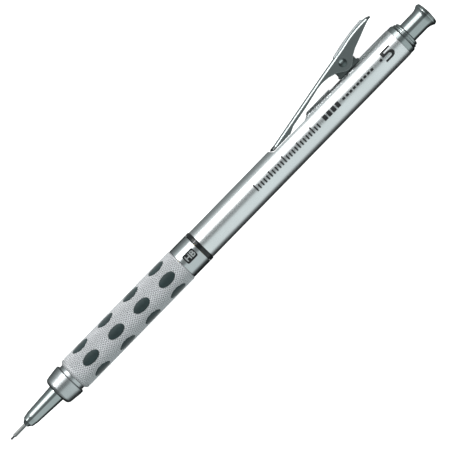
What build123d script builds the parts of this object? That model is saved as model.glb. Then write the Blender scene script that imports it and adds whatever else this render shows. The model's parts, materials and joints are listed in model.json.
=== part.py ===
"""Drafting pencil, 0.5 mm, with a retractable guide pipe, a push-button clutch and a sprung pocket clip.

Millimetres. The pencil lies along X: the guide pipe's front end is at the origin, the push button is
towards +X, and the clip is on the +Y side. The mechanism is drawn with its tip out.
"""

import math
import os

from build123d import *

# ---- fits -------------------------------------------------------------------------------------------
SEATED = 0.01  # gap between pieces that are pressed or screwed together
RUNNING = 0.05  # radial gap of pieces that turn or slide in each other
STOP_GAP = 0.1  # what is left between a stop and the piece that it stops

# ---- travel -----------------------------------------------------------------------------------------
RETRACT = 16.5  # the whole mechanism, tip out to tip in
PRESS = 2.5  # push button
RING_TRAVEL = 0.65  # clutch ring

# ---- lead and pipe ----------------------------------------------------------------------------------
LEAD_R = 0.28
LEAD_OUT = 1.15  # lead that stands out of the pipe
LEAD_LENGTH = 60.0
LEAD_BORE = LEAD_R + 0.02
PIPE_R = 0.49
PIPE_NECK_R = 0.65  # from the nozzle's mouth
PIPE_ROOT_R = 0.8  # behind the shoulder that holds the pipe in
PIPE_SHOULDER = 4.6
PIPE_OUT = 4.0  # length of pipe in front of the nozzle
PIPE_END = 7.5

# ---- stations along the outside, from the front -----------------------------------------------------
COLLAR_X = 15.15
COUPLING_X = 20.15
GRIP_X = 21.15
GRADE_X = 60.0
SPACER_X = 65.7
BARREL_X = 66.85
REAR_X = 137.55  # where the barrel ends and the rear ring starts
RING_END_X = 140.7
BUTTON_END_X = 148.25

# ---- outside radii ----------------------------------------------------------------------------------
NOZZLE_R = 2.34  # where the nozzle enters the collar
COLLAR_R = 4.5
COUPLING_R = 3.88
GRIP_R = 4.71
GRADE_R = 4.48
BARREL_R = 4.28
BUTTON_R = 2.72
BUTTON_RIM_R = 3.42

# ---- inside radii -----------------------------------------------------------------------------------
SLEEVE_BORE = 2.42  # collar and front of the grip core, round the nozzle and the clutch housing
CORE_R = 3.2
CORE_BORE = 2.7
GRIP_BORE = 3.96
BARREL_BORE = 2.85
RING_BORE = BUTTON_R + 0.07
CARRIAGE_R = 2.2
CARRIAGE_BORE = 1.85
HOUSING_R = 2.3
RESERVOIR_R = 1.75
RESERVOIR_BORE = 1.35
ERASER_R = 1.8
ERASER_GAP = 0.03
HOLDER_R = 2.2

# ---- clutch -----------------------------------------------------------------------------------------
CHUCK_X = 12.3
CHUCK_HEAD_R = 1.27
CHUCK_HEAD_LENGTH = 2.3
STEM_R = 0.85
RING_X = CHUCK_X + 0.3
RING_LENGTH = 1.8
CHAMBER_R = 1.55
CHAMBER_X = RING_X - RING_TRAVEL - STOP_GAP  # step that stops the clutch ring
SOCKET_X = 19.5  # where the housing's spigot starts in the nozzle
SOCKET_R = 1.92
NOZZLE_END = 24.0
CONNECTOR_X = 32.0
RESERVOIR_X = 36.0
RESERVOIR_END = 136.0

# ---- sliding mechanism ------------------------------------------------------------------------------
FLANGE_X = 47.4
FLANGE_LENGTH = 7.0
FLANGE_R = 2.6
CORE_STEP_X = FLANGE_X - STOP_GAP
SEAT_X = FLANGE_X + FLANGE_LENGTH + RETRACT + STOP_GAP
SEAT_LENGTH = 3.0
LATCH_X = 113.0
LATCH_END = 121.2
LATCH_R = 2.65
BUTTON_X = LATCH_END + PRESS + 0.2

# ---- grip windows and pads --------------------------------------------------------------------------
PAD_ROWS = 4
PAD_COLUMNS = 6
PAD_X = 27.7  # centre of the first row
PAD_PITCH = 9.0
PAD_LENGTH = 5.12
PAD_WIDTH = 2.76
PAD_TOP = 4.76
PAD_GAP = 0.03

# ---- lead-grade window ------------------------------------------------------------------------------
WINDOW_X = 62.95
WINDOW_LENGTH = 3.4
WINDOW_WIDTH = 2.5
WINDOW_CORNER = 0.4

# ---- clip -------------------------------------------------------------------------------------------
PIVOT = (123.95, 6.35)
PIN_R = 0.75
PIN_HEAD_R = 1.12
SHEET = 0.5  # thickness of the clip's and the bracket's steel
BEND_R = 0.85
CLIP_TIP_X = 95.6
CLIP_REAR_X = 137.0
TIP_FOOT = 3.3
TIP = ((0, 4.0, 0.85), (0.3, 4.2, 1.3), (0.8, 4.27, 1.62), (1.5, 4.3, 1.8))  # (way back, top, half width)
PIVOT_WIDTH = 5.6
REAR_WIDTH = 6.4
WING_X = 126.5  # where the wing's top starts to curve
WING_HIGH_X = 134.5  # its highest point
WING_HIGH = 10.35
WING_CURVE_R = 32.0
WING_STEPS = 9
ROLL = 1.3  # length of the wing's rolled rear edge
ROLL_DROP = 0.35
ROLL_TAPER = 0.7  # how much narrower the rolled edge is on each side
RIBS = 19  # on the thumb pad
RIB_R = 0.2
RIB_LENGTH = 4.4
CHEEK_GAP = 0.2  # between a cheek and the bracket's ear
NOTCH_FLOOR = 3.15  # height over the pencil's axis
NOTCH_X = (96.0, 107.2)
FLAT_FLOOR = 3.9
FLAT_X = (116.85, 127.65)
BRACKET_X = (120.95, 127.1)
FOOT_R = 0.4
HOOK_X = (121.3, 122.2)
HOOK_WIDTH = 1.0
HOOK_Y = 2.8  # lower end of the release hook
SLOT_X = (120.15, 122.45)


# ---- building helpers -------------------------------------------------------------------------------
def turned(*corners):
    """A solid turned about X, from (x, radius) corners; a third number is that corner's rounding."""
    points = [corner[:2] for corner in corners]
    rounds = [corner[2] if len(corner) == 3 else 0 for corner in corners]
    return revolve(make_face(FilletPolyline(*points, radius=rounds, close=True)), Axis.X)


def tube(start, end, outer, inner=0.0):
    """A plain tube about X, or a rod where inner is 0."""
    return turned((start, inner), (start, outer), (end, outer), (end, inner))


def block(x, y, z):
    """A box from its (low, high) pairs."""
    box = Box(x[1] - x[0], y[1] - y[0], z[1] - z[0])
    return Pos((x[0] + x[1]) / 2, (y[0] + y[1]) / 2, (z[0] + z[1]) / 2) * box


def plate(*points, width):
    """A straight-sided side view, centred on Z."""
    return extrude(make_face(Polyline(*points, close=True)), width / 2, both=True)


def coil(start, end, radius, wire_r, turns):
    """A round-wire helical spring about X, from start to end."""
    length = end - start - 2 * wire_r
    path = Helix(length / turns, length, radius, center=(start + wire_r, 0, 0), direction=(1, 0, 0))
    return sweep(Plane(path @ 0, z_dir=path % 0) * Circle(wire_r), path, is_frenet=True)


# ---- lead and clutch --------------------------------------------------------------------------------
def lead():
    start, end, chamfer = -LEAD_OUT, LEAD_LENGTH - LEAD_OUT, 0.08
    return turned((start, 0), (start, LEAD_R - chamfer), (start + chamfer, LEAD_R), (end, LEAD_R), (end, 0))


def spare_leads():
    """Two spare leads that lie on the floor of the reservoir."""
    start = LEAD_LENGTH - LEAD_OUT + PRESS + 1
    offset = RESERVOIR_BORE - LEAD_R - RUNNING
    angles = (-65, -115)
    places = [Pos(0, offset * math.cos(math.radians(a)), offset * math.sin(math.radians(a))) for a in angles]
    return Compound(children=[place * tube(start, start + LEAD_LENGTH, LEAD_R) for place in places])


def guide_pipe():
    """Thin drawn pipe with a wider root that is pressed into the nozzle from behind."""
    chamfer = 0.06
    mouth = PIPE_OUT + 0.02
    return turned(
        (0, LEAD_BORE),
        (0, PIPE_R - chamfer),
        (chamfer, PIPE_R),
        (mouth, PIPE_R),
        (mouth, PIPE_NECK_R),
        (PIPE_SHOULDER, PIPE_NECK_R),
        (PIPE_SHOULDER, PIPE_ROOT_R),
        (PIPE_END, PIPE_ROOT_R),
        (PIPE_END, LEAD_BORE),
    )


def nozzle():
    bore = PIPE_NECK_R + SEATED
    root = PIPE_SHOULDER - SEATED
    root_bore = PIPE_ROOT_R + SEATED
    passage = CHUCK_HEAD_R + 0.06
    return turned(
        (PIPE_OUT, bore),
        (PIPE_OUT, 0.76),
        (PIPE_OUT + 0.82, 1.3, 0.2),
        (PIPE_OUT + 0.95, 1.54, 0.06),
        (PIPE_OUT + 2.6, 1.87, 0.3),
        (COLLAR_X, NOZZLE_R),
        (NOZZLE_END, HOUSING_R),
        (NOZZLE_END, SOCKET_R),
        (SOCKET_X, SOCKET_R),
        (SOCKET_X, CHAMBER_R),
        (CHAMBER_X, CHAMBER_R),
        (CHAMBER_X, passage),
        (PIPE_END + 2, passage),
        (PIPE_END + 2, 1.2),
        (PIPE_END, 1.2),
        (PIPE_END, root_bore),
        (root, root_bore),
        (root, bore),
    )


def lead_retainer():
    return tube(PIPE_END + SEATED, PIPE_END + 1.9, 1.2 - SEATED, LEAD_BORE)


def chuck():
    """Collet with three jaws: a head that the clutch ring holds shut, and a springy slit stem."""
    neck = CHUCK_X + CHUCK_HEAD_LENGTH
    body = turned(
        (CHUCK_X, LEAD_BORE),
        (CHUCK_X, 0.95),
        (CHUCK_X + 0.4, CHUCK_HEAD_R),
        (neck, CHUCK_HEAD_R),
        (neck + 0.8, STEM_R),
        (RESERVOIR_X, STEM_R),
        (RESERVOIR_X, 0.45),
        (neck + 2.5, 0.45),
        (neck + 2.5, LEAD_BORE),
    )
    slit = block((CHUCK_X - 1, neck + 6), (0, 2), (-0.08, 0.08))
    for k in range(3):
        body -= Rot(120 * k, 0, 0) * slit
    return body


def clutch_ring():
    return tube(RING_X, RING_X + RING_LENGTH, CHAMBER_R - RUNNING, CHUCK_HEAD_R + 0.03)


def clutch_housing():
    """Front sleeve of the sliding mechanism, with a wall for the clutch spring and a stop flange."""
    wall = SOCKET_X + 1.5
    flange_end = FLANGE_X + FLANGE_LENGTH
    return turned(
        (SOCKET_X + SEATED, STEM_R + 0.1),
        (SOCKET_X + SEATED, SOCKET_R - SEATED),
        (NOZZLE_END + SEATED, SOCKET_R - SEATED),
        (NOZZLE_END + SEATED, HOUSING_R),
        (FLANGE_X, HOUSING_R),
        (FLANGE_X, FLANGE_R),
        (flange_end, FLANGE_R, 0.2),
        (flange_end, CARRIAGE_R + SEATED),
        (FLANGE_X + 1, CARRIAGE_R + SEATED),
        (FLANGE_X + 1, CARRIAGE_BORE),
        (NOZZLE_END + 0.5, CARRIAGE_BORE),
        (NOZZLE_END + 0.5, 1.5),
        (wall, 1.5),
        (wall, STEM_R + 0.1),
    )


def clutch_spring():
    return coil(SOCKET_X + 1.5, CONNECTOR_X, radius=1.15, wire_r=0.14, turns=11)


def chuck_connector():
    """Bush on the chuck's stem: the clutch spring pushes on its front, the reservoir sits on its spigot."""
    spigot_end = RESERVOIR_X + 4
    return turned(
        (CONNECTOR_X, STEM_R + SEATED),
        (CONNECTOR_X, RESERVOIR_R, 0.15),
        (RESERVOIR_X, RESERVOIR_R),
        (RESERVOIR_X, RESERVOIR_BORE - SEATED),
        (spigot_end, RESERVOIR_BORE - SEATED),
        (spigot_end, 1.1),
        (RESERVOIR_X + SEATED, 0.6),
        (RESERVOIR_X + SEATED, STEM_R + SEATED),
    )


def lead_reservoir():
    return tube(RESERVOIR_X + SEATED, RESERVOIR_END, RESERVOIR_R, RESERVOIR_BORE)


def eraser_holder():
    """Ferrule on the rear end of the reservoir, with a ledge between the tube and the eraser."""
    ledge = RESERVOIR_END + SEATED
    end = RESERVOIR_END + 5
    return turned(
        (RESERVOIR_END - 4, RESERVOIR_R + SEATED),
        (RESERVOIR_END - 4, HOLDER_R),
        (end, HOLDER_R, 0.1),
        (end, ERASER_R + ERASER_GAP),
        (ledge + 0.4, ERASER_R + ERASER_GAP),
        (ledge + 0.4, 1.2),
        (ledge, 1.2),
        (ledge, RESERVOIR_R + SEATED),
    )


def eraser():
    start = RESERVOIR_END + 0.4 + 2 * SEATED
    return turned((start, 0), (start, ERASER_R), (start + 9, ERASER_R, 0.5), (start + 9, 0))


def push_button():
    """Cap with a flared rim and a slightly domed end, whose skirt slides in the rear ring."""
    inside_x = BUTTON_END_X - 1.2
    bore = HOLDER_R + RUNNING
    dome_height = 0.27
    edge = (BUTTON_END_X - dome_height, 2.7)
    dome_r = (dome_height**2 + edge[1] ** 2) / (2 * dome_height)
    half_turn = math.asin(edge[1] / dome_r) / 2
    middle = (BUTTON_END_X - dome_r * (1 - math.cos(half_turn)), dome_r * math.sin(half_turn))
    side = FilletPolyline(
        (BUTTON_X, bore),
        (BUTTON_X, BUTTON_R),
        (BUTTON_END_X - 2.35, BUTTON_R),
        (BUTTON_END_X - 1.1, BUTTON_RIM_R),
        (BUTTON_END_X - 0.36, 3.13),
        edge,
        radius=(0.1, 3.8, 0.25, 0.25),
    )
    dome = ThreePointArc(edge, middle, (BUTTON_END_X, 0))
    inside = Polyline((BUTTON_END_X, 0), (inside_x, 0), (inside_x, bore), (BUTTON_X, bore))
    return revolve(make_face([*side.edges(), dome, *inside.edges()]), Axis.X)


# ---- sliding carriage and its springs ---------------------------------------------------------------
def carriage_tube():
    return tube(FLANGE_X + 1 + SEATED, LATCH_END - 0.7, CARRIAGE_R, CARRIAGE_BORE)


def latch_collar():
    bore = CARRIAGE_R + SEATED
    return turned((LATCH_X, bore), (LATCH_X, LATCH_R, 0.15), (LATCH_END, LATCH_R, 0.1), (LATCH_END, bore))


def spring_seat():
    return tube(SEAT_X, SEAT_X + SEAT_LENGTH, BARREL_BORE - SEATED, CARRIAGE_R + 0.08)


def return_spring():
    return coil(SEAT_X + SEAT_LENGTH, LATCH_X, radius=2.51, wire_r=0.17, turns=15)


# ---- front collar, grip and lead-grade ring ---------------------------------------------------------
def front_collar():
    inner_step = COLLAR_X + 1.5
    return turned(
        (COLLAR_X, SLEEVE_BORE),
        (COLLAR_X, 4.0, 1.2),
        (COLLAR_X + 3.85, COLLAR_R - 0.04, 1.5),
        (COUPLING_X, COLLAR_R, 0.35),
        (COUPLING_X, CORE_R + SEATED),
        (inner_step, CORE_R + SEATED),
        (inner_step, SLEEVE_BORE),
    )


def coupling_ring():
    bore = CORE_R + SEATED
    start, end = COUPLING_X, GRIP_X
    return turned((start, bore), (start, COUPLING_R, 0.08), (end, COUPLING_R, 0.08), (end, bore))


def grip_core():
    """Inner tube that everything at the front is built on; its rear end is screwed into the barrel."""
    start = COLLAR_X + 1.5 + SEATED
    return turned(
        (start, SLEEVE_BORE),
        (start, CORE_R),
        (SEAT_X, CORE_R),
        (SEAT_X, CORE_BORE),
        (CORE_STEP_X, CORE_BORE),
        (CORE_STEP_X, SLEEVE_BORE),
    )


def each_window():
    """The turn and shift of each of the grip's windows."""
    for row in range(PAD_ROWS):
        for column in range(PAD_COLUMNS):
            yield Rot(column * 360 / PAD_COLUMNS, 0, 0) * Pos(PAD_X + row * PAD_PITCH, 0, 0)


def oval_prism(low, high, shrink=0.0):
    """An oval that stands out along Z, from radius low to radius high."""
    oval = Ellipse(PAD_LENGTH / 2 - shrink, PAD_WIDTH / 2 - shrink)
    return extrude(Plane.XY.offset(low) * oval, high - low)


def grip_sleeve():
    """Metal shell with a smooth bevel at its front and oval windows in rows and columns."""
    shell = turned(
        (GRIP_X, GRIP_BORE),
        (GRIP_X, 4.1, 0.05),
        (GRIP_X + 0.65, GRIP_R - 0.05, 0.35),
        (GRADE_X, GRIP_R - 0.02, 0.06),
        (GRADE_X, GRIP_BORE),
    )
    window = oval_prism(3, 6)
    return shell - [place * window for place in each_window()]


def pad_sleeve():
    """Soft sleeve whose oval pads stand in the windows of the grip sleeve."""
    sleeve = tube(GRIP_X + 0.2, GRADE_X - 0.2, GRIP_BORE - 2 * SEATED, CORE_R + SEATED)
    pad = oval_prism(3.5, 5, shrink=PAD_GAP) & tube(-PAD_LENGTH, PAD_LENGTH, PAD_TOP)
    return sleeve + [place * pad for place in each_window()]


def grade_drum():
    return tube(GRADE_X + 0.05, SPACER_X - 0.05, GRADE_R - 0.7, CORE_R + SEATED)


def grade_ring():
    start, end = GRADE_X + RUNNING, SPACER_X - RUNNING
    bore = GRADE_R - 0.65
    ring = turned((start, bore), (start, GRADE_R, 0.1), (end, GRADE_R, 0.1), (end, bore))
    window = extrude(RectangleRounded(WINDOW_LENGTH, WINDOW_WIDTH, WINDOW_CORNER), 6)
    return ring - Pos(WINDOW_X, 0, 0) * window


def spacer_ring():
    bore = CORE_R + SEATED
    return turned((SPACER_X, bore), (SPACER_X, GRADE_R, 0.1), (BARREL_X, GRADE_R, 0.3), (BARREL_X, bore))


# ---- barrel and rear ring ---------------------------------------------------------------------------
def barrel():
    """Tube with a notch under the clip's tip, a flat for the clip's bracket and a slot for its hook."""
    core_socket = CORE_R + SEATED
    ring_socket_x = REAR_X - 4.6
    ring_socket = 3.5
    body = turned(
        (BARREL_X, core_socket),
        (BARREL_X, BARREL_R, 0.12),
        (REAR_X, BARREL_R, 0.08),
        (REAR_X, ring_socket),
        (ring_socket_x, ring_socket),
        (ring_socket_x, BARREL_BORE),
        (SEAT_X, BARREL_BORE),
        (SEAT_X, core_socket),
    )
    floor, top = NOTCH_FLOOR, BARREL_R + 0.2
    low, high = NOTCH_X
    ramp = [(high, floor), (high + 0.7, floor + 0.3), (high + 1.4, floor + 0.85), (high + 2.0, top)]
    notch = plate((low, floor), *ramp, (low - 1.1, top), width=10)
    flat = block(FLAT_X, (FLAT_FLOOR, FLAT_FLOOR + 2), (-5, 5))
    return body - notch - flat - hook_slot()


def rear_ring():
    """Stepped ring with two beads, screwed into the barrel."""
    spigot_r = 3.5 - SEATED
    return turned(
        (REAR_X - 4.5, RING_BORE),
        (REAR_X - 4.5, spigot_r),
        (REAR_X + SEATED, spigot_r),
        (REAR_X + SEATED, 4.2, 0.06),
        (REAR_X + 1.4, 4.2, 0.2),
        (REAR_X + 1.8, 3.9),
        (REAR_X + 1.8, 3.62),
        (REAR_X + 1.92, 3.62),
        (REAR_X + 1.92, 3.88, 0.12),
        (REAR_X + 2.35, 3.84, 0.2),
        (REAR_X + 2.4, 3.4),
        (REAR_X + 2.5, 3.4),
        (REAR_X + 2.5, 3.6, 0.08),
        (RING_END_X, 3.54, 0.45),
        (RING_END_X, RING_BORE),
    )


# ---- clip -------------------------------------------------------------------------------------------
def clip_section(x, top, half_width, inset):
    """The clip's arch cut across at x: two cheeks and a top with rounded bends, inset by a sheet or by 0."""
    low, high, side = 0, top - inset, half_width - inset
    bend = min(BEND_R, half_width - 0.05) - inset
    corners = [(-side, low), (-side, high), (side, high), (side, low)]
    face = make_face(FilletPolyline(*corners, radius=(0, bend, bend, 0), close=True))
    return Plane((x, 0, 0), x_dir=(0, 0, -1), z_dir=(1, 0, 0)) * face


def rolled(x):
    """How far into the wing's rolled rear edge x is: 0 before it, 1 at its end."""
    return max(0, x - (CLIP_REAR_X - ROLL)) / ROLL


def wing_top(x):
    return WING_HIGH - (x - WING_HIGH_X) ** 2 / (2 * WING_CURVE_R) - ROLL_DROP * rolled(x) ** 2


def clip_arch(inset):
    """The whole bent sheet from tip to rear as a solid of arches, before its side view is cut out."""
    pivot, rear = PIVOT_WIDTH / 2, REAR_WIDTH / 2
    x, y = PIVOT
    stations = [(CLIP_TIP_X + inset + back, top, half) for back, top, half in TIP]
    stations.append((x - 5.9, y + 1.65, pivot))
    stations.append((WING_X, wing_top(WING_X), pivot))
    for k in range(1, WING_STEPS + 1):
        share = k / WING_STEPS
        at = WING_X + share * (CLIP_REAR_X - WING_X)
        widen = min(1.0, 1.8 * share)
        half = pivot + widen * (rear - pivot) - ROLL_TAPER * rolled(at) ** 2
        stations.append((at, wing_top(at), half))
    return loft([clip_section(*station, inset) for station in stations], ruled=True)


def clip_side():
    """What is left of the arch seen from the side: a foot at the tip, an arm, a hump at the pivot, a wing."""
    x, y = PIVOT
    rear, back = CLIP_REAR_X + 1, y + 3.05
    under_wing = [(x + 12.4, back), (x + 10.2, y + 2.36), (x + 7.8, y + 1.45), (x + 4.8, y + 0.37)]
    wing = Polyline((CLIP_TIP_X - 1, 14), (rear, 14), (rear, back), *under_wing)
    heel = Polyline((x + 4.8, y + 0.37), (x + 3.2, y - 0.45), (x + 1.5, y - 1.85))
    hump = ThreePointArc((x + 1.5, y - 1.85), (x + 0.2, y - 2.2), (x - 1.1, y - 1.85))
    front_of_hump = Line((x - 1.1, y - 1.85), (x - 2.7, y - 0.75))
    hollow = ThreePointArc((x - 2.7, y - 0.75), (x - 5.2, y - 0.02), (x - 9.0, y - 0.07))
    sole, front = CLIP_TIP_X + 0.75, CLIP_TIP_X - 1
    under_arm = [(x - 9.0, y - 0.07), (x - 14.75, y - 1.3), (x - 19.8, y - 2.2), (x - 21.7, TIP_FOOT)]
    arm = Polyline(*under_arm, (sole, TIP_FOOT))
    nose_y = TIP_FOOT + 0.5
    nose = Polyline((sole, TIP_FOOT), (CLIP_TIP_X, nose_y), (front, nose_y), (front, 14))
    hump_edges = [*heel.edges(), hump, front_of_hump, hollow]
    return make_face([*wing.edges(), *hump_edges, *arm.edges(), *nose.edges()])


def thumb_pad():
    """Crowned pad of fine ribs across the wing."""
    x, y = PIVOT
    front, crown, back = (x - 0.65, y + 2.65), (x + 5.25, y + 3.83), (x + 10.85, y + 4.38)
    rise = ThreePointArc(front, crown, back)
    rest = Polyline(back, (x + 11.65, y + 3.65), (x - 0.65, y + 2.42), front)
    pad = extrude(make_face([rise, *rest.edges()]), RIB_LENGTH / 2, both=True)
    for k in range(RIBS):
        at = rise @ ((k + 0.5) / RIBS)
        pad += across(RIB_R, RIB_LENGTH, (at.X, at.Y - 0.05))
    return pad


def across(radius, length, place=PIVOT):
    """A round bar along Z, centred on the pencil's middle plane."""
    return Pos(*place, 0) * Cylinder(radius, length)


def clip():
    """Lever bent from sheet: a channel that is open below, with its two cheeks on the pivot pin."""
    side = extrude(clip_side(), REAR_WIDTH, both=True)
    sheet = (clip_arch(0) & side) - clip_arch(SHEET)
    return sheet + thumb_pad() - across(PIN_R + RUNNING, 10)


def release_hook():
    """Finger under the clip that goes down through the bracket and the barrel to the latch collar."""
    front, back = HOOK_X
    under = [(x, PIVOT[1] + 1.65 + (x - PIVOT[0] + 5.9) * 0.16 - SHEET - 0.06) for x in (back, front)]
    shank = (front + 0.3, HOOK_Y + 0.7)
    return plate((front, HOOK_Y), (back, HOOK_Y), *under, shank, (front, HOOK_Y + 0.7), width=HOOK_WIDTH)


def hook_slot():
    """Way for the release hook through the bracket's base and the barrel's wall."""
    side = HOOK_WIDTH / 2 + 0.15
    return block(SLOT_X, (2, 5.5), (-side, side))


def clip_bracket():
    """Bracket of bent sheet on the barrel's flat: two ears, a base and a rolled foot at each end."""
    front, back = BRACKET_X
    base_y = FLAT_FLOOR + SEATED
    ear_top = PIVOT[1] + 0.95
    shoulder_y = ear_top - 1.2
    outer = PIVOT_WIDTH / 2 - SHEET - CHEEK_GAP
    base = [(front, shoulder_y), (front, base_y), (back, base_y), (back, shoulder_y)]
    ears = plate(*base, (back - 1.4, ear_top), (front + 1.7, ear_top), width=2 * outer)
    inside = block((front - 1, back + 1), (base_y + SHEET, ear_top + 1), (SHEET - outer, outer - SHEET))
    feet = [across(FOOT_R, 2 * outer, (x, base_y + FOOT_R)) for x in (front + 0.1, back + 0.1)]
    return (ears - inside) + feet - hook_slot() - across(PIN_R + SEATED, 10)


def clip_pin():
    """Rivet through the clip's cheeks and the bracket's ears, with a low domed head on each side."""
    shank = PIVOT_WIDTH / 2 + RUNNING
    height = 0.45
    dome_r = (PIN_HEAD_R**2 + height**2) / (2 * height)
    cap = Sphere(dome_r) & Pos(0, 0, dome_r - height / 2) * Box(4, 4, height)
    head = Pos(*PIVOT, shank + height - dome_r) * cap
    return across(PIN_R, 2 * shank + 0.1) + head + mirror(head, Plane.XY)


def clip_spring():
    """Torsion spring round the pivot pin: one leg on the bracket's base, the other under the clip's wing."""
    x, y = PIVOT
    wire_r, radius, turns, pitch = 0.15, 1.0, 4, 0.42
    half = turns * pitch / 2
    base_top = FLAT_FLOOR + SEATED + SHEET
    lower = Line((x + radius, base_top + 0.05, -half), (x + radius, y, -half))
    coils = Helix(pitch, 2 * half, radius, center=(x, y, -half))
    upper = Line((x + radius, y, half), (x + radius, y + 2.05, half))
    path = Wire([*lower.edges(), *coils.edges(), *upper.edges()])
    return sweep(Plane(path @ 0, z_dir=path % 0) * Circle(wire_r), path)


PARTS = {
    "lead": lead,
    "spare_leads": spare_leads,
    "guide_pipe": guide_pipe,
    "nozzle": nozzle,
    "lead_retainer": lead_retainer,
    "chuck": chuck,
    "clutch_ring": clutch_ring,
    "clutch_housing": clutch_housing,
    "clutch_spring": clutch_spring,
    "chuck_connector": chuck_connector,
    "lead_reservoir": lead_reservoir,
    "eraser_holder": eraser_holder,
    "eraser": eraser,
    "push_button": push_button,
    "carriage_tube": carriage_tube,
    "latch_collar": latch_collar,
    "spring_seat": spring_seat,
    "return_spring": return_spring,
    "front_collar": front_collar,
    "coupling_ring": coupling_ring,
    "grip_core": grip_core,
    "grip_sleeve": grip_sleeve,
    "pad_sleeve": pad_sleeve,
    "grade_drum": grade_drum,
    "grade_ring": grade_ring,
    "spacer_ring": spacer_ring,
    "barrel": barrel,
    "rear_ring": rear_ring,
    "clip": clip,
    "release_hook": release_hook,
    "clip_bracket": clip_bracket,
    "clip_pin": clip_pin,
    "clip_spring": clip_spring,
}

os.makedirs("parts", exist_ok=True)
for name, make in PARTS.items():
    export_step(make(), f"parts/{name}.step")
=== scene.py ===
"""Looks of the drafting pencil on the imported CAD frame: materials, knurl, soft pads, springs and printing."""

import json
import math

import bmesh
import bpy
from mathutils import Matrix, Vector

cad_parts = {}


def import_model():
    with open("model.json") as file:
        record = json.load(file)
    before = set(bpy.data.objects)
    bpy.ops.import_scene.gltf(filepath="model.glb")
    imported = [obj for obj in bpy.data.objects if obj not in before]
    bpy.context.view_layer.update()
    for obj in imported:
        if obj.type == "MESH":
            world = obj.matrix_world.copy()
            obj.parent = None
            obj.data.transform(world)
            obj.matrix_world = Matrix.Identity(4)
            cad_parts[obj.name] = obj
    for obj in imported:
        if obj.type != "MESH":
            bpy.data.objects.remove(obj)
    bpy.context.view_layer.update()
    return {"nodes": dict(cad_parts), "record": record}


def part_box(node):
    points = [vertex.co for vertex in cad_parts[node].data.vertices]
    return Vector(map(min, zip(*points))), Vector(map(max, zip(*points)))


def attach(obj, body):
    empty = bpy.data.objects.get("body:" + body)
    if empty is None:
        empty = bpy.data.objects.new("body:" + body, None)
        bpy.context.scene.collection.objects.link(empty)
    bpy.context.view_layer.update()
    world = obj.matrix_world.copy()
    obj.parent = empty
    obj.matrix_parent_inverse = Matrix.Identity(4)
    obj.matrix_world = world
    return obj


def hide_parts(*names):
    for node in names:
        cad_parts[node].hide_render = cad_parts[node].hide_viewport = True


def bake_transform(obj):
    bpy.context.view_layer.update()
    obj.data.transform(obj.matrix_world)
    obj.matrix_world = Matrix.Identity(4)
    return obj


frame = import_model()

MM = 0.001

# ---- measures that both a shape and a material need --------------------------------------------------
KNURL_AROUND = 88  # half pitches round the grip; even, so that the diamonds close
KNURL_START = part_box("grip_sleeve")[0].x + 1.05 * MM
KNURL_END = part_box("grip_sleeve")[1].x - 0.1 * MM
KNURL_ALONG = 76  # half pitches along the grip
KNURL_STEP = (KNURL_END - KNURL_START) / KNURL_ALONG


# ---- material helpers --------------------------------------------------------------------------------
def add_node(tree, kind, inputs=(), **settings):
    """A shader node with its settings, and with its inputs given as values or as other nodes' outputs."""
    node = tree.nodes.new("ShaderNode" + kind)
    for setting, value in settings.items():
        setattr(node, setting, value)
    for name, value in dict(inputs).items():
        if isinstance(value, bpy.types.NodeSocket):
            tree.links.new(value, node.inputs[name])
        else:
            node.inputs[name].default_value = value
    return node


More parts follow.
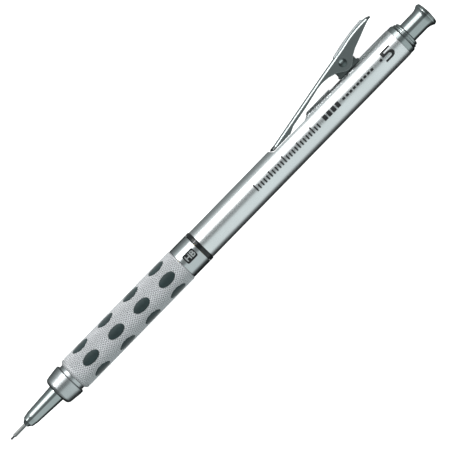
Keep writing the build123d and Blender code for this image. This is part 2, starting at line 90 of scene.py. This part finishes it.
class Shader:
    """A node material being built up: a Principled shader with textures on its inputs."""

    def __init__(self, name, color, roughness, metallic=0.0, **sockets):
        self.material = bpy.data.materials.new(name)
        self.material.use_nodes = True
        self.tree = self.material.node_tree
        self.surface = self.tree.nodes["Principled BSDF"]
        self.color = color
        self.surface.inputs["Base Color"].default_value = (*color, 1)
        self.surface.inputs["Roughness"].default_value = roughness
        self.surface.inputs["Metallic"].default_value = metallic
        for socket, value in sockets.items():
            self.surface.inputs[socket.replace("_", " ")].default_value = value
        self.coordinates = add_node(self.tree, "TexCoord").outputs
        self.normal = None

    def feed(self, output, socket):
        """Links an output to one of the surface's inputs."""
        self.tree.links.new(output, self.surface.inputs[socket])

    def noise(self, per_mm, detail=3.0, stretch=(1, 1, 1)):
        """Noise with about per_mm grains to the millimetre, divided by stretch along each axis."""
        scale = [1 / s for s in stretch]
        mapping = add_node(self.tree, "Mapping", {"Vector": self.coordinates["Object"], "Scale": scale})
        grains = {"Vector": mapping.outputs["Vector"], "Scale": per_mm / MM, "Detail": detail}
        return add_node(self.tree, "TexNoise", grains).outputs["Fac"]

    def math(self, operation, *values):
        """A Math node on sockets or numbers."""
        return add_node(self.tree, "Math", enumerate(values), operation=operation).outputs["Value"]

    def axes(self, source="Object"):
        """X, Y and Z of the place, in metres, or with "Normal" of the way that the surface faces."""
        split = add_node(self.tree, "SeparateXYZ", {"Vector": self.coordinates[source]})
        return split.outputs["X"], split.outputs["Y"], split.outputs["Z"]

    def vary_roughness(self, factor, low, high):
        """Roughness from low to high over the middle of the factor's range."""
        limits = {"From Min": 0.3, "From Max": 0.7, "To Min": low, "To Max": high}
        spread = add_node(self.tree, "MapRange", {"Value": factor, **limits})
        self.feed(spread.outputs["Result"], "Roughness")

    def vary_color(self, factor, other):
        """Colour from the base colour to the other over the middle of the factor's range."""
        self.color_stops(factor, (0.35, self.color), (0.65, other))

    def color_stops(self, factor, first, last, *between):
        """Colour that follows the factor through (position, colour) stops."""
        node = add_node(self.tree, "ValToRGB", {"Fac": factor})
        for element, (position, color) in zip(node.color_ramp.elements, (first, last)):
            element.position = position
            element.color = (*color, 1)
        for position, color in between:
            node.color_ramp.elements.new(position).color = (*color, 1)
        self.feed(node.outputs["Color"], "Base Color")

    def round_edges(self, radius_mm):
        """Makes sharp edges catch the light as if they were rounded to that radius."""
        self.normal = add_node(self.tree, "Bevel", {"Radius": radius_mm * MM}, samples=6).outputs["Normal"]
        self.feed(self.normal, "Normal")

    def bump(self, factor, height_mm):
        """Relief of that height, on top of any rounded edges."""
        bump = add_node(self.tree, "Bump", {"Strength": 1.0, "Distance": height_mm * MM, "Height": factor})
        if self.normal:
            self.tree.links.new(self.normal, bump.inputs["Normal"])
        self.normal = bump.outputs["Normal"]
        self.feed(self.normal, "Normal")


def shade(color, share):
    """The colour, darker or lighter by that share."""
    return tuple(min(1.0, c * share) for c in color)


# ---- kinds of material -------------------------------------------------------------------------------
def blasted_metal(name, color, roughness, **sockets):
    """Fine blasted and anodised metal: an even satin with a very small grain."""
    s = Shader(name, color, roughness, metallic=1.0, **sockets)
    s.vary_color(s.noise(0.12, 4), shade(color, 0.95))
    s.vary_roughness(s.noise(6.0, 2), roughness - 0.05, roughness + 0.06)
    s.bump(s.noise(9.0, 2), 0.004)
    return s.material


def turned_metal(name, color, roughness, mark_mm=0.0015, **sockets):
    """Lathe-turned metal, with fine tool marks round the axis."""
    s = Shader(name, color, roughness, metallic=1.0, **sockets)
    s.vary_color(s.noise(0.25, 3), shade(color, 0.97))
    s.vary_roughness(s.noise(3.0, 3, stretch=(1, 12, 12)), roughness * 0.9, roughness * 1.12)
    s.bump(s.noise(14.0, 2, stretch=(1, 30, 30)), mark_mm)
    return s.material


def polished_sheet(name, color, roughness):
    """Polished pressed sheet, with faint lengthwise brush marks and handling marks."""
    s = Shader(name, color, roughness, metallic=1.0)
    s.vary_color(s.noise(0.2, 3), shade(color, 0.92))
    s.vary_roughness(s.noise(0.9, 4, stretch=(4, 1, 1)), roughness * 0.7, roughness * 1.3)
    s.bump(s.noise(10.0, 2, stretch=(25, 1, 1)), 0.0012)
    return s.material


def clip_sheet(name, color, pad_color, tip_painted_reflection, inside_painted_light, roughness):
    """Polished sheet with a painted dark reflection on the tip, painted light on the pale inside, and a matt
    pale thumb pad on top of the wing.
    """
    s = Shader(name, color, roughness, metallic=1.0)
    x, _, z = s.axes()
    _, facing_y, facing_z = s.axes("Normal")
    behind = s.math("GREATER_THAN", x, THUMB_PAD_X)
    middle = s.math("LESS_THAN", s.math("ABSOLUTE", z), THUMB_PAD_HALF)
    pad = s.math("MULTIPLY", behind, middle)
    # painted reflection: the sheet is darkened at the tip, standing for the dark notch that it reflects
    sheet = s.math("GREATER_THAN", x, PAINTED_TIP_REFLECTION_X)
    # The factor is 0 on the tip, which carries a painted dark reflection, 0.4 on the sheet, 0.8 on the thumb
    # pad and 1 on the inside, where a cheek faces the middle or the top faces down; the inside is painted pale
    # as painted light.
    outside = s.math("MULTIPLY", s.math("ADD", sheet, pad), 0.4)
    # painted light: the inside of the channel is coloured pale so that the barrel beneath reflects light there
    inner_cheek = s.math("LESS_THAN", s.math("MULTIPLY", z, facing_z), -0.2 * MM)
    inside = s.math("MAXIMUM", inner_cheek, s.math("LESS_THAN", facing_y, -0.8))
    ends = (0, tip_painted_reflection), (1, inside_painted_light)
    s.color_stops(s.math("MAXIMUM", outside, inside), *ends, (0.4, color), (0.8, pad_color))
    s.vary_roughness(pad, roughness, 0.5)
    s.round_edges(0.16)
    s.bump(s.noise(10.0, 2, stretch=(25, 1, 1)), 0.0012)
    return s.material


def knurled(name, color, roughness):
    """Satin metal with painted shade down in the grooves between the knurl's crests."""
    s = Shader(name, color, roughness, metallic=1.0)
    x, y, z = s.axes()
    along = s.math("MULTIPLY", s.math("SUBTRACT", x, KNURL_START), math.pi / KNURL_STEP)
    around = s.math("MULTIPLY", s.math("ARCTAN2", y, z), KNURL_AROUND / 2)
    # painted shade: the colour darkens down in the grooves, where shade falls between the crests
    groove_shade = s.math("MULTIPLY", s.math("COSINE", along), s.math("COSINE", around))
    s.vary_color(groove_shade, shade(color, 0.54))
    s.vary_roughness(s.noise(6.0, 2), roughness - 0.05, roughness + 0.06)
    s.bump(s.noise(9.0, 2), 0.004)
    return s.material


def moulded(name, color, roughness, **sockets):
    """Moulded plastic with a very fine texture."""
    s = Shader(name, color, roughness, **sockets)
    s.vary_color(s.noise(0.3, 3), shade(color, 0.9))
    s.vary_roughness(s.noise(3.0, 3), roughness * 0.9, roughness * 1.12)
    s.bump(s.noise(5.0, 3), 0.003)
    return s.material


def soft_rubber(name, color, roughness, sheen=0.25):
    """Soft elastomer: matt, with a little bloom at grazing angles."""
    s = Shader(name, color, roughness, Sheen_Weight=sheen, Sheen_Roughness=0.37)
    s.vary_color(s.noise(0.8, 4), shade(color, 1.35))
    s.vary_roughness(s.noise(2.5, 3), roughness * 0.88, roughness * 1.1)
    s.bump(s.noise(6.0, 3), 0.006)
    return s.material


# ---- materials ---------------------------------------------------------------------------------------
THUMB_PAD_X = 123.25 * MM  # front end of the thumb pad
THUMB_PAD_HALF = 2.25 * MM  # half its width
# where the painted dark reflection on the clip's tip stops
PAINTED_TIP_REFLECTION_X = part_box("clip")[0].x + 1.7 * MM
DARK_EDGES = {"Specular_Tint": (0.2, 0.22, 0.22, 1.0)}  # reflects less at grazing angles
GLOSS = {"Coat_Weight": 1.0, "Coat_Roughness": 0.04, "Coat_IOR": 1.45, "Specular_IOR_Level": 0.2}

# By the record's material slots.
MATERIALS = {
    "barrel_aluminium": blasted_metal("blasted_aluminium", (0.89, 0.90, 0.91), 0.27),
    "ring_aluminium": blasted_metal("ring_aluminium", (0.62, 0.64, 0.65), 0.19, **DARK_EDGES),
    "satin_chrome": turned_metal("satin_plate", (0.57, 0.59, 0.60), 0.28, **DARK_EDGES),
    "chrome": turned_metal("bright_plate", (0.45, 0.49, 0.49), 0.10, mark_mm=0.0004),
    "knurled_metal": knurled("knurled_metal", (0.79, 0.79, 0.805), 0.76),
    "polished_steel": polished_sheet("polished_sheet", (0.50, 0.54, 0.54), 0.14),
    "bracket_steel": polished_sheet("bracket_sheet", (0.20, 0.23, 0.23), 0.22),
    "pipe_steel": turned_metal("drawn_pipe", (0.27, 0.275, 0.27), 0.45),
    "spring_steel": turned_metal("spring_wire", (0.55, 0.56, 0.58), 0.25),
    "brass": turned_metal("turned_brass", (0.72, 0.55, 0.24), 0.25),
    "soft_pad": soft_rubber("pad_elastomer", (0.010, 0.026, 0.028), 0.58, sheen=1.0),
    "black_rubber": soft_rubber("retainer_rubber", (0.02, 0.02, 0.02), 0.6),
    "eraser_rubber": soft_rubber("eraser_vinyl", (0.86, 0.86, 0.83), 0.7),
    "black_plastic": moulded("drum_plastic", (0.004, 0.005, 0.006), 0.5),
    "gloss_black": moulded("spacer_plastic", (0.004, 0.005, 0.006), 0.25, **GLOSS),
    "white_plastic": moulded("white_plastic", (0.80, 0.80, 0.77), 0.35),
    "grey_plastic": moulded("grey_plastic", (0.30, 0.31, 0.32), 0.35),
    "graphite": moulded("graphite", (0.035, 0.035, 0.038), 0.33),
}
INK = moulded("print_ink", (0.015, 0.016, 0.018), 0.45)
PALE_INK = moulded("grade_ink", (0.50, 0.53, 0.53), 0.45)

# Nodes that look different from the rest of their slot.
OWN_MATERIALS = {
    "rear_ring": turned_metal("rear_ring_plate", (0.41, 0.45, 0.45), 0.17, mark_mm=0.0006),
    "clip": clip_sheet(
        "clip_sheet",
        (0.45, 0.49, 0.49),
        pad_color=(0.62, 0.64, 0.65),
        # The tip's colour is a painted dark reflection and the inside's is painted light.
        tip_painted_reflection=(0.12, 0.13, 0.13),
        inside_painted_light=(0.88, 0.90, 0.90),
        roughness=0.12,
    ),
    "clip_pin": turned_metal("rivet_metal", (0.13, 0.155, 0.155), 0.30),
}

for subpart in frame["record"]["subparts"]:
    node = frame["nodes"][subpart["node"]]
    node.data.materials.clear()
    node.data.materials.append(OWN_MATERIALS.get(subpart["node"]) or MATERIALS[subpart["material_slot"]])


# ---- building helpers --------------------------------------------------------------------------------
def piece(name, points, faces, material, smooth=True):
    """A mesh object from points in metres; smooth is True, False, or one value for each face."""
    mesh = bpy.data.meshes.new(name)
    mesh.from_pydata(points, [], faces)
    flags = [smooth] * len(faces) if isinstance(smooth, bool) else smooth
    mesh.polygons.foreach_set("use_smooth", flags)
    mesh.materials.append(material)
    mesh.validate()
    made = bpy.data.objects.new(name, mesh)
    bpy.context.scene.collection.objects.link(made)
    return made


def around_x(x, radius, angle):
    """A point at that distance along the pencil and from its axis; angle 0 is the +Z side."""
    return (x, radius * math.sin(angle), radius * math.cos(angle))


def turned_about_x(point, angle):
    """A point turned about the pencil's axis, in the sense that takes +Y to +Z."""
    x, y, z = point
    return (x, y * math.cos(angle) - z * math.sin(angle), y * math.sin(angle) + z * math.cos(angle))


def band(low, high, count):
    """The faces between two rings of count points each, given the number of each ring's first point."""
    nexts = [*range(1, count), 0]
    return [(low + k, low + after, high + after, high + k) for k, after in enumerate(nexts)]


def apply_boolean(obj, other, operation):
    """Cuts or joins other's closed mesh into obj's and removes other."""
    modifier = obj.modifiers.new("boolean", "BOOLEAN")
    modifier.operation = operation
    modifier.solver = "MANIFOLD"
    modifier.object = other
    bpy.context.view_layer.update()
    graph = bpy.context.evaluated_depsgraph_get()
    mesh = bpy.data.meshes.new_from_object(obj.evaluated_get(graph))
    obj.modifiers.clear()
    obj.data = mesh
    bpy.data.objects.remove(other)


# ---- grip: knurled shell and soft pads ---------------------------------------------------------------
GRIP_BORE = 3.96 * MM
KNURL_DEPTH = 0.18 * MM
REAR_LAND = 0.04 * MM  # plain stretch and chamfer behind the knurl
REAR_CHAMFER = 0.06 * MM
FIRST_ROW = 6.55 * MM  # behind the grip's front end
ROW_PITCH = 9.0 * MM
ROWS = 4
COLUMNS = 6
WINDOW_HALF = (2.56 * MM, 1.38 * MM)  # half the length and half the width of an oval window
CUTTER_HEIGHTS = (3 * MM, 6 * MM)  # clear of the shell's wall on both sides
OVAL_STEPS = 72
PAD_CLEARANCE = 0.03 * MM
PAD_TOP = 4.76 * MM
PAD_ROOT = 3.9 * MM
PAD_ROUNDING = 0.14 * MM  # radius of the pad's edge
PAD_CROWN = 0.05 * MM  # how much higher its middle is
SLEEVE_BORE = 3.21 * MM
SLEEVE_R = 3.94 * MM
SLEEVE_STEPS = 96
# The grip's plain front bevel, in mm: how far behind the front end, and how far below the knurl's crests.
BEVEL = ((0, 0.62), (0.06, 0.56), (0.22, 0.34), (0.42, 0.16), (0.62, 0.08), (0.88, 0.05), (1.0, 0.07))


def window_places():
    """x and angle of each window in the grip."""
    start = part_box("grip_sleeve")[0].x + FIRST_ROW
    for row in range(ROWS):
        for column in range(COLUMNS):
            yield start + row * ROW_PITCH, math.radians(column * 360 / COLUMNS)


def oval_cutters():
    """One object of radial oval prisms, one for each window."""
    points, faces = [], []
    half_length, half_width = WINDOW_HALF
    for x, angle in window_places():
        low = len(points)
        high = low + OVAL_STEPS
        for z in CUTTER_HEIGHTS:
            for k in range(OVAL_STEPS):
                a = 2 * math.pi * k / OVAL_STEPS
                corner = (x + half_length * math.cos(a), half_width * math.sin(a), z)
                points.append(turned_about_x(corner, angle))
        faces.append(tuple(reversed(range(low, high))))
        faces.append(tuple(range(high, high + OVAL_STEPS)))
        faces += band(low, high, OVAL_STEPS)
    return piece("window_cutters", points, faces, MATERIALS["knurled_metal"], smooth=False)


def knurled_shell():
    """The grip's metal shell: a plain bevel, two crossing sets of grooves, and the windows cut through."""
    low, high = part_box("grip_sleeve")
    outer, floor = high.y, high.y - KNURL_DEPTH
    rings = [(low.x, GRIP_BORE)]
    rings += [(low.x + back * MM, outer - below * MM) for back, below in BEVEL]
    first = len(rings)
    rings += [(KNURL_START + KNURL_STEP * k, floor) for k in range(KNURL_ALONG + 1)]
    last = len(rings) - 1
    rings += [(high.x - REAR_LAND, floor), (high.x, floor - REAR_CHAMFER), (high.x, GRIP_BORE)]
    points, faces, smooth = [], [], []
    for i, (x, radius) in enumerate(rings):
        for j in range(KNURL_AROUND):
            peak = first < i < last and (i - first + j) % 2
            points.append(around_x(x, outer if peak else radius, 2 * math.pi * j / KNURL_AROUND))
    for i in range(len(rings)):
        quads = band(i * KNURL_AROUND, (i + 1) % len(rings) * KNURL_AROUND, KNURL_AROUND)
        for j, (a, b, c, d) in enumerate(quads):
            if not first <= i < last:
                split = [(a, b, c, d)]
            elif (i - first + j) % 2:
                split = [(a, b, d), (b, c, d)]
            else:
                split = [(a, b, c), (a, c, d)]
            faces += split
            smooth += [len(split) == 1] * len(split)
    shell = piece("knurled_grip", points, faces, MATERIALS["knurled_metal"], smooth)
    apply_boolean(shell, oval_cutters(), "DIFFERENCE")
    return shell


def pad_rings():
    """(what is taken off the oval, radius of the surface) for each ring, from the pad's root to its crown."""
    yield 0.0, PAD_ROOT
    for k in range(5):
        a = math.pi / 2 * k / 4
        yield PAD_ROUNDING * (1 - math.cos(a)), PAD_TOP - PAD_CROWN - PAD_ROUNDING * (1 - math.sin(a))
    for k in range(1, 5):
        share = k / 5
        inset = PAD_ROUNDING + (WINDOW_HALF[1] - PAD_ROUNDING) * share
        yield inset, PAD_TOP - PAD_CROWN * (1 - share) ** 2


def pad_domes():
    """One object of domed oval pads, each a little smaller than its window."""
    points, faces = [], []
    half_length, half_width = (h - PAD_CLEARANCE for h in WINDOW_HALF)
    for x, angle in window_places():
        first = len(points)
        for inset, radius in pad_rings():
            for k in range(OVAL_STEPS):
                a = 2 * math.pi * k / OVAL_STEPS
                y = (half_width - inset) * math.sin(a)
                along = x + (half_length - inset) * math.cos(a)
                points.append(turned_about_x((along, y, math.sqrt(radius**2 - y**2)), angle))
        crown = len(points) - OVAL_STEPS
        for low in range(first, crown, OVAL_STEPS):
            faces += band(low, low + OVAL_STEPS, OVAL_STEPS)
        faces.append(tuple(range(crown, crown + OVAL_STEPS)))
        faces.append(tuple(reversed(range(first, first + OVAL_STEPS))))
    return piece("soft_pads", points, faces, MATERIALS["soft_pad"])


def pad_base():
    """The plain sleeve that the pads stand on."""
    low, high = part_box("pad_sleeve")
    corners = [(low.x, SLEEVE_BORE), (low.x, SLEEVE_R), (high.x, SLEEVE_R), (high.x, SLEEVE_BORE)]
    turns = [2 * math.pi * j / SLEEVE_STEPS for j in range(SLEEVE_STEPS)]
    points = [around_x(x, r, turn) for x, r in corners for turn in turns]
    faces = []
    for i in range(4):
        faces += band(i * SLEEVE_STEPS, (i + 1) % 4 * SLEEVE_STEPS, SLEEVE_STEPS)
    return piece("soft_sleeve", points, faces, MATERIALS["soft_pad"], smooth=False)


grip = knurled_shell()
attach(grip, "barrel")
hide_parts("grip_sleeve")
pads = pad_domes()
apply_boolean(pads, pad_base(), "UNION")
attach(pads, "barrel")
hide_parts("pad_sleeve")


# ---- springs -----------------------------------------------------------------------------------------
WIRE_SIDES = 10
COIL_STEPS = 28  # to each turn of a compression spring
CLOSED_PITCH = 0.03  # share of the spring's length that each closed end turn takes
TORSION_TURNS = 4
TORSION_R = 1.0 * MM
TORSION_WIRE = 0.15 * MM
TORSION_STEPS = 32
LEG_STEPS = 8


def wire_along(name, path, radius):
    """A round wire along a path of points, with closed ends."""
    path = [Vector(p) for p in path]
    points, faces = [], []
    side = (path[1] - path[0]).orthogonal().normalized()
    for k, here in enumerate(path):
        ahead = (path[min(k + 1, len(path) - 1)] - path[max(k - 1, 0)]).normalized()
        side = (side - ahead * side.dot(ahead)).normalized()
        up = ahead.cross(side)
        for j in range(WIRE_SIDES):
            a = 2 * math.pi * j / WIRE_SIDES
            points.append(here + radius * (side * math.cos(a) + up * math.sin(a)))
    last = len(points) - WIRE_SIDES
    for low in range(0, last, WIRE_SIDES):
        faces += band(low, low + WIRE_SIDES, WIRE_SIDES)
    faces.append(tuple(range(WIRE_SIDES))[::-1])
    faces.append(tuple(range(last, len(points))))
    return piece(name, points, faces, MATERIALS["spring_steel"])


def compression_spring(name, start, end, radius, wire, turns):
    """A spring along X whose last turn at each end is closed."""
    path = []
    for k in range(turns * COIL_STEPS + 1):
        t = k / COIL_STEPS
        closed = min(t, 1) + max(t - turns + 1, 0)
        lift = (t - closed) / (turns - 2)
        share = CLOSED_PITCH * closed + (1 - 2 * CLOSED_PITCH) * lift
        path.append(around_x(start + wire + (end - start - 2 * wire) * share, radius, 2 * math.pi * t))
    return wire_along(name, path, wire)


def torsion_spring():
    """The clip's spring round the pin, with one leg down on the bracket and one leg up under the wing."""
    low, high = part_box("clip_spring")
    pin_low, pin_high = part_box("clip_pin")
    x, y = (pin_low.x + pin_high.x) / 2, (pin_low.y + pin_high.y) / 2
    foot, head = low.y + TORSION_WIRE, high.y - TORSION_WIRE
    half = (high.z - low.z) / 2 - TORSION_WIRE
    path = [(x + TORSION_R, foot + (y - foot) * k / LEG_STEPS, -half) for k in range(LEG_STEPS)]
    total = TORSION_TURNS * TORSION_STEPS
    for k in range(total + 1):
        a = 2 * math.pi * k / TORSION_STEPS
        path.append((x + TORSION_R * math.cos(a), y + TORSION_R * math.sin(a), -half + 2 * half * k / total))
    path += [(x + TORSION_R, y + (head - y) * k / LEG_STEPS, half) for k in range(1, LEG_STEPS + 1)]
    return wire_along("clip_spring_wire", path, TORSION_WIRE), half


seat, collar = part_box("spring_seat")[1].x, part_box("latch_collar")[0].x
return_coil = compression_spring("return_spring_wire", seat, collar, 2.51 * MM, 0.17 * MM, turns=15)
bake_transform(return_coil)
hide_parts("return_spring")

wall, bush = (edge.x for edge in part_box("clutch_spring"))
clutch_coil = compression_spring("clutch_spring_wire", wall, bush, 1.15 * MM, 0.14 * MM, turns=11)
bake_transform(clutch_coil)
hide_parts("clutch_spring")

clip_coil, coil_half = torsion_spring()
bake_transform(clip_coil)
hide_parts("clip_spring")


# ---- printing ----------------------------------------------------------------------------------------
INK_UNDER = 0.004 * MM
INK_OVER = 0.012 * MM
FLAT_HALF = 0.01 * MM  # half the thickness that a print has before it is wrapped
WRAP_STEP = 0.25 * MM
WRAP_REACH = 2.5 * MM  # further out than any print
CAPITAL_SHARE = 0.7  # of the font's size
WINDOW_X = 62.95 * MM  # middle of the lead-grade window
GRADES = ("HB", "B", "2B", "2H", "H", "F")


def wrapped(name, mesh, x, radius, material, turn=0.0):
    """A flat print, X along the pencil and Y round it, laid on a cylinder of that radius."""
    work = bmesh.new()
    work.from_mesh(mesh)
    level = -WRAP_REACH
    while level < WRAP_REACH:
        everything = work.verts[:] + work.edges[:] + work.faces[:]
        bmesh.ops.bisect_plane(work, geom=everything, plane_co=(0, level, 0), plane_no=(0, 1, 0))
        level += WRAP_STEP
    for v in work.verts:
        height = radius + (INK_OVER if v.co.z > 0 else -INK_UNDER)
        v.co = Vector(around_x(x + v.co.x, height, turn + v.co.y / radius))
    work.to_mesh(mesh)
    work.free()
    mesh.materials.clear()
    mesh.materials.append(material)
    made = bpy.data.objects.new(name, mesh)
    bpy.context.scene.collection.objects.link(made)
    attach(made, "barrel")


def flat_mesh(name, points, faces):
    """A mesh that is ready to be wrapped."""
    mesh = bpy.data.meshes.new(name)
    mesh.from_pydata(points, [], faces)
    return mesh


def lettering(text, height, weight):
    """A flat mesh of the text, centred, with its capitals that high and its strokes wider by weight."""
    curve = bpy.data.curves.new("lettering", "FONT")
    curve.body = text
    curve.align_x = "CENTER"
    curve.align_y = "CENTER"
    curve.size = height / CAPITAL_SHARE
    curve.extrude = FLAT_HALF
    curve.offset = weight
    curve.resolution_u = 6
    holder = bpy.data.objects.new("lettering", curve)
    bpy.context.scene.collection.objects.link(holder)
    bpy.context.view_layer.update()
    graph = bpy.context.evaluated_depsgraph_get()
    mesh = bpy.data.meshes.new_from_object(holder.evaluated_get(graph))
    bpy.data.objects.remove(holder)
    return mesh


def bars(rectangles):
    """A flat mesh of bars, each (low x, high x, low y, high y)."""
    points, faces = [], []
    for x0, x1, y0, y1 in rectangles:
        k = len(points)
        for z in (-FLAT_HALF, FLAT_HALF):
            points += [(x0, y0, z), (x1, y0, z), (x1, y1, z), (x0, y1, z)]
        faces += [(k + 3, k + 2, k + 1, k), (k + 4, k + 5, k + 6, k + 7)]
        faces += band(k, k + 4, 4)
    return flat_mesh("bars", points, faces)


def scale_bars():
    """A 22 mm scale with longer strokes at the fives and tens."""
    width, low = 0.42, -0.95
    made = []
    for k in range(23):
        tall = 2.1 if k % 10 == 0 else 1.8 if k % 5 == 0 else 1.35
        made.append((k * MM, k * MM + width * MM, low * MM, (low + tall) * MM))
    return bars(made)


def dash_bars(count, length, height, pitch=0.0):
    """A row of equal bars, in mm."""
    low, high = -height * MM / 2, height * MM / 2
    starts = [k * pitch * MM for k in range(count)]
    return bars([(start, start + length * MM, low, high) for start in starts])


def stroke(path, width):
    """A flat mesh of one line with that width, along a path of (x, y) points, with mitred corners."""
    path = [Vector(p) for p in path]
    points, faces = [], []
    for k, here in enumerate(path):
        before = (here - path[k - 1]).normalized() if k else (path[1] - here).normalized()
        after = (path[k + 1] - here).normalized() if k + 1 < len(path) else before
        along = (before + after).normalized()
        side = Vector((-along.y, along.x)) * width / 2 / along.dot(before)
        for z in (-FLAT_HALF, FLAT_HALF):
            points += [(*(here + side), z), (*(here - side), z)]
    for k in range(len(path) - 1):
        a, b = 4 * k, 4 * k + 4
        for i, j in ((0, 1), (1, 3), (3, 2), (2, 0)):
            faces.append((a + i, a + j, b + j, b + i))
    last = len(points) - 4
    faces += [(0, 2, 3, 1), (last, last + 1, last + 3, last + 2)]
    return flat_mesh("stroke", points, faces)


def figure_five():
    """A plain 5 with square corners and a round bowl, drawn narrow and low, then stretched to 3.3 by 3 mm."""
    line, stretch, rise = 0.50, 1.9, 1.1
    path = [(1.74, 1.1), (line / 2, 1.1), (line / 2, 0.2)]
    for k in range(13):
        a = math.radians(90 - 15 * k)
        path.append((1.0 + 0.5 * math.cos(a), -0.47 + 0.67 * math.sin(a)))
    path.append((0, -1.14))
    mesh = stroke([(x * MM, y * MM) for x, y in path], line * MM)
    for v in mesh.vertices:
        v.co.x *= stretch
        v.co.y *= rise
    return mesh


barrel_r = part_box("barrel")[1].z
drum_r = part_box("grade_drum")[1].z
wrapped("print_scale", scale_bars(), 86.3 * MM, barrel_r, INK)
wrapped("print_blocks", dash_bars(4, length=1.1, height=1.5, pitch=1.5), 110.5 * MM, barrel_r, INK)
wrapped("print_dashes", dash_bars(9, length=0.8, height=0.65, pitch=1.25), 117.3 * MM, barrel_r, INK)
wrapped("print_size", figure_five(), 131.7 * MM, barrel_r, INK)
wrapped("print_point", dash_bars(1, length=0.75, height=0.7), 130.55 * MM, barrel_r, INK)
for k, grade in enumerate(GRADES):
    turn = 2 * math.pi * k / len(GRADES)
    wrapped(f"grade_{k}", lettering(grade, 1.6 * MM, 0.04 * MM), WINDOW_X, drum_r, PALE_INK, turn)


# ---- studio ------------------------------------------------------------------------------------------
PICTURE_MIDDLE = Vector((74.55 * MM, -0.84 * MM, 0))
CAMERA_DISTANCE = 780 * MM
FIELD = 112.5 * MM  # what the picture shows across
TURN = 45.715  # degrees from the picture's horizontal to the pencil
FLOOR_Z = -4.85 * MM
FLOOR_HALF = 3
LIGHT_TILT = 46.3  # degrees from straight above towards +Y
LIGHT_LENGTH = 0.6
COOL = (0.90, 1.0, 1.0)
# Grey of the room by its angle round the pencil, from straight above towards +Y; the lights are extra.
ROOM = (
    (-180, 0.03),
    (-136, 0.02),
    (-122, 0.04),
    (-110, 0.12),
    (-100, 0.36),
    (-90, 0.78),
    (-22, 0.78),
    (-12, 0.34),
    (-5, 0.24),
    (5, 0.24),
    (13, 0.32),
    (20, 0.32),
    (70, 0.60),
    (88, 0.46),
    (102, 0.30),
    (120, 0.23),
    (150, 0.18),
    (180, 0.05),
)


def camera():
    """Looks straight down on the pencil, turned as in the picture."""
    data = bpy.data.cameras.new("camera")
    data.lens = data.sensor_width * CAMERA_DISTANCE / FIELD
    data.clip_start, data.clip_end = 0.05, 20
    made = bpy.data.objects.new("camera", data)
    made.location = PICTURE_MIDDLE + Vector((0, 0, CAMERA_DISTANCE))
    made.rotation_euler = (0, 0, -math.radians(TURN))
    bpy.context.scene.collection.objects.link(made)
    bpy.context.scene.camera = made


def softbox(name, spread, distance, radiance):
    """A long soft light parallel to the pencil, spread degrees wide as the pencil sees it."""
    width = 2 * distance * math.tan(math.radians(spread / 2))
    data = bpy.data.lights.new(name, "AREA")
    data.shape = "RECTANGLE"
    data.size, data.size_y = LIGHT_LENGTH, width
    data.energy = radiance * math.pi * LIGHT_LENGTH * width
    made = bpy.data.objects.new(name, data)
    a = math.radians(LIGHT_TILT)
    made.location = PICTURE_MIDDLE + distance * Vector((0, math.sin(a), math.cos(a)))
    made.rotation_euler = (-a, 0, 0)
    bpy.context.scene.collection.objects.link(made)


def floor():
    """A pale floor just under the pencil, which lights it only as the room does."""
    shader = Shader("floor", (0.8, 0.8, 0.8), 0.9, Emission_Color=(1, 1, 1, 1), Emission_Strength=0.95)
    shader.vary_roughness(shader.noise(0.02, 2), 0.85, 0.95)
    corners = [(x * FLOOR_HALF, y * FLOOR_HALF, 0) for x, y in ((-1, -1), (1, -1), (1, 1), (-1, 1))]
    made = piece("floor", corners, [(0, 1, 2, 3)], shader.material)
    made.location.z = FLOOR_Z
    made.visible_glossy = False
    made.visible_shadow = False


def world():
    """White to the camera; to the pencil, a room with a light wall, a dark floor and ceiling, and dim ends."""
    made = bpy.data.worlds.new("studio")
    bpy.context.scene.world = made
    made.use_nodes = True
    tree = made.node_tree
    tree.nodes.clear()
    place = add_node(tree, "TexCoord")
    split = add_node(tree, "SeparateXYZ", {"Vector": place.outputs["Generated"]}).outputs
    angle = add_node(tree, "Math", {0: split["Y"], 1: split["Z"]}, operation="ARCTAN2")
    whole_turn = {"From Min": -math.pi, "From Max": math.pi}
    turn = add_node(tree, "MapRange", {"Value": angle.outputs["Value"], **whole_turn})
    ramp = add_node(tree, "ValToRGB", {"Fac": turn.outputs["Result"]})
    while len(ramp.color_ramp.elements) < len(ROOM):
        ramp.color_ramp.elements.new(0.5)
    for element, (degrees, grey) in zip(ramp.color_ramp.elements, ROOM):
        element.position = (degrees + 180) / 360
        element.color = (*(grey * c for c in COOL), 1)
    sideways = add_node(tree, "Math", {0: split["X"]}, operation="ABSOLUTE")
    fall = {"From Min": 0.35, "From Max": 0.80, "To Min": 1.0, "To Max": 0.35}
    ends = add_node(tree, "MapRange", {"Value": sideways.outputs["Value"], **fall})
    dimming = {0: ramp.outputs["Color"], "Scale": ends.outputs["Result"]}
    dimmed = add_node(tree, "VectorMath", dimming, operation="SCALE")
    room = add_node(tree, "Background", {"Color": dimmed.outputs["Vector"]})
    pale = add_node(tree, "Background", {"Color": (1, 1, 1, 1)})
    seen = add_node(tree, "LightPath").outputs["Is Camera Ray"]
    choice = {0: seen, 1: room.outputs["Background"], 2: pale.outputs["Background"]}
    mix = add_node(tree, "MixShader", choice)
    add_node(tree, "OutputWorld", {"Surface": mix.outputs["Shader"]})


camera()
softbox("key", spread=47.5, distance=0.5, radiance=1.5)
softbox("tube", spread=3.5, distance=0.48, radiance=13.0)
floor()
world()
bpy.context.scene.view_settings.view_transform = "Standard"
